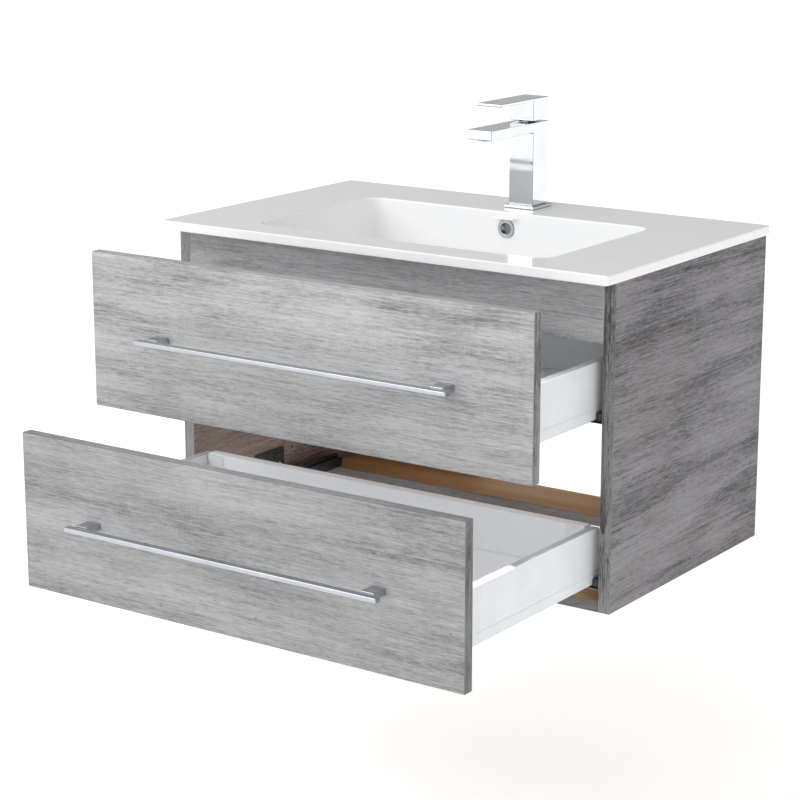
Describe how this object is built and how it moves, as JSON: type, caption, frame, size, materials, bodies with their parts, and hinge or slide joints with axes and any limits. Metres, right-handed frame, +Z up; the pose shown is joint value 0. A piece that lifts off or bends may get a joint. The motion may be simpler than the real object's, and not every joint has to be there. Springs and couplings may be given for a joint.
{
  "type": "bathroom vanity cabinet",
  "caption": "Wall-hung bathroom vanity with two full-width drawers on full-extension runners, a one-piece sink top with a rectangular bowl, and a square single-lever faucet.",
  "frame": {"origin": "centre of the hanging rail's back face, on the wall plane", "axes": "+Z up, +Y into the wall, so the drawers open along -Y; +X to the right of a person facing the front"},
  "size_m": [0.762, 0.833, 0.65],
  "materials": {
    "grey_laminate": "weathered grey wood-grain laminate, satin",
    "brown_board": "brown laminated board, matt",
    "white_board": "white melamine, satin",
    "white_steel": "white powder coat, satin",
    "black_steel": "black coated steel",
    "zinc_steel": "zinc plated",
    "sink_white": "glossy white",
    "chrome": "polished",
    "brass": "machined",
    "grey_plastic": "moulded"
  },
  "bodies": {
    "cabinet": {"back_panel_left": "brown_board", "back_panel_right": "brown_board", "bottom_rail_back": "brown_board", "bottom_rail_front": "brown_board", "drain_body": "chrome", "drain_nut": "brass", "drain_tailpiece": "grey_plastic", "faucet_aerator": "chrome", "faucet_base_plate": "chrome", "faucet_body": "chrome", "faucet_nut": "brass", "faucet_shank": "brass", "faucet_washer": "grey_plastic", "front_rail_top": "grey_laminate", "hanging_bracket_left": "zinc_steel", "hanging_bracket_right": "zinc_steel", "hanging_rail": "brown_board", "lower_runner_cabinet_left": "black_steel", "lower_runner_cabinet_right": "black_steel", "overflow_ring": "chrome", "side_panel_left": "grey_laminate", "side_panel_right": "grey_laminate", "sink_top": "sink_white", "upper_runner_cabinet_left": "black_steel", "upper_runner_cabinet_right": "black_steel"},
    "upper_drawer": {"upper_drawer_back_clip_left": "white_steel", "upper_drawer_back_clip_right": "white_steel", "upper_drawer_back_left": "white_board", "upper_drawer_back_right": "white_board", "upper_drawer_bottom": "white_board", "upper_drawer_fence": "white_steel", "upper_drawer_front": "grey_laminate", "upper_drawer_handle_bar": "chrome", "upper_drawer_handle_post_left": "chrome", "upper_drawer_handle_post_right": "chrome", "upper_drawer_runner_left": "black_steel", "upper_drawer_runner_right": "black_steel", "upper_drawer_side_left": "white_steel", "upper_drawer_side_right": "white_steel"},
    "upper_runner_middles": {"upper_runner_middle_left": "black_steel", "upper_runner_middle_right": "black_steel"},
    "lower_drawer": {"lower_drawer_back": "white_board", "lower_drawer_back_clip_left": "white_steel", "lower_drawer_back_clip_right": "white_steel", "lower_drawer_bottom": "white_board", "lower_drawer_front": "grey_laminate", "lower_drawer_handle_bar": "chrome", "lower_drawer_handle_post_left": "chrome", "lower_drawer_handle_post_right": "chrome", "lower_drawer_runner_left": "black_steel", "lower_drawer_runner_right": "black_steel", "lower_drawer_side_left": "white_steel", "lower_drawer_side_right": "white_steel"},
    "lower_runner_middles": {"lower_runner_middle_left": "black_steel", "lower_runner_middle_right": "black_steel"},
    "stem": {"faucet_cartridge_stem": "brass"},
    "lever": {"faucet_lever": "chrome", "faucet_lever_pin": "zinc_steel"},
    "plug": {"drain_plug": "chrome"}
  },
  "joints": [
    {"name": "upper_drawer_slide", "type": "slide", "parent": "cabinet", "child": "upper_drawer", "axis": [0, -1, 0], "range_m": [-0.181, 0.169]},
    {"name": "upper_runner_slide", "type": "slide", "parent": "cabinet", "child": "upper_runner_middles", "axis": [0, -1, 0], "range_m": [-0.0906, 0.0846]},
    {"name": "lower_drawer_slide", "type": "slide", "parent": "cabinet", "child": "lower_drawer", "axis": [0, -1, 0], "range_m": [-0.335, 0.015]},
    {"name": "lower_runner_slide", "type": "slide", "parent": "cabinet", "child": "lower_runner_middles", "axis": [0, -1, 0], "range_m": [-0.1676, 0.0076]},
    {"name": "faucet_swivel", "type": "hinge", "parent": "cabinet", "child": "stem", "pos_m": [0, -0.06, 0.196], "axis": [0, 0, 1], "range_deg": [-40, 40]},
    {"name": "faucet_lift", "type": "hinge", "parent": "stem", "child": "lever", "pos_m": [0, -0.06, 0.2085], "axis": [-1, 0, 0], "range_deg": [0, 25]},
    {"name": "plug_lift", "type": "slide", "parent": "cabinet", "child": "plug", "axis": [0, 0, 1], "range_m": [0, 0.009]}
  ],
  "couplings": [
    {"joint": "upper_runner_slide", "follows": "upper_drawer_slide", "ratio": 0.5},
    {"joint": "lower_runner_slide", "follows": "lower_drawer_slide", "ratio": 0.5}
  ]
}
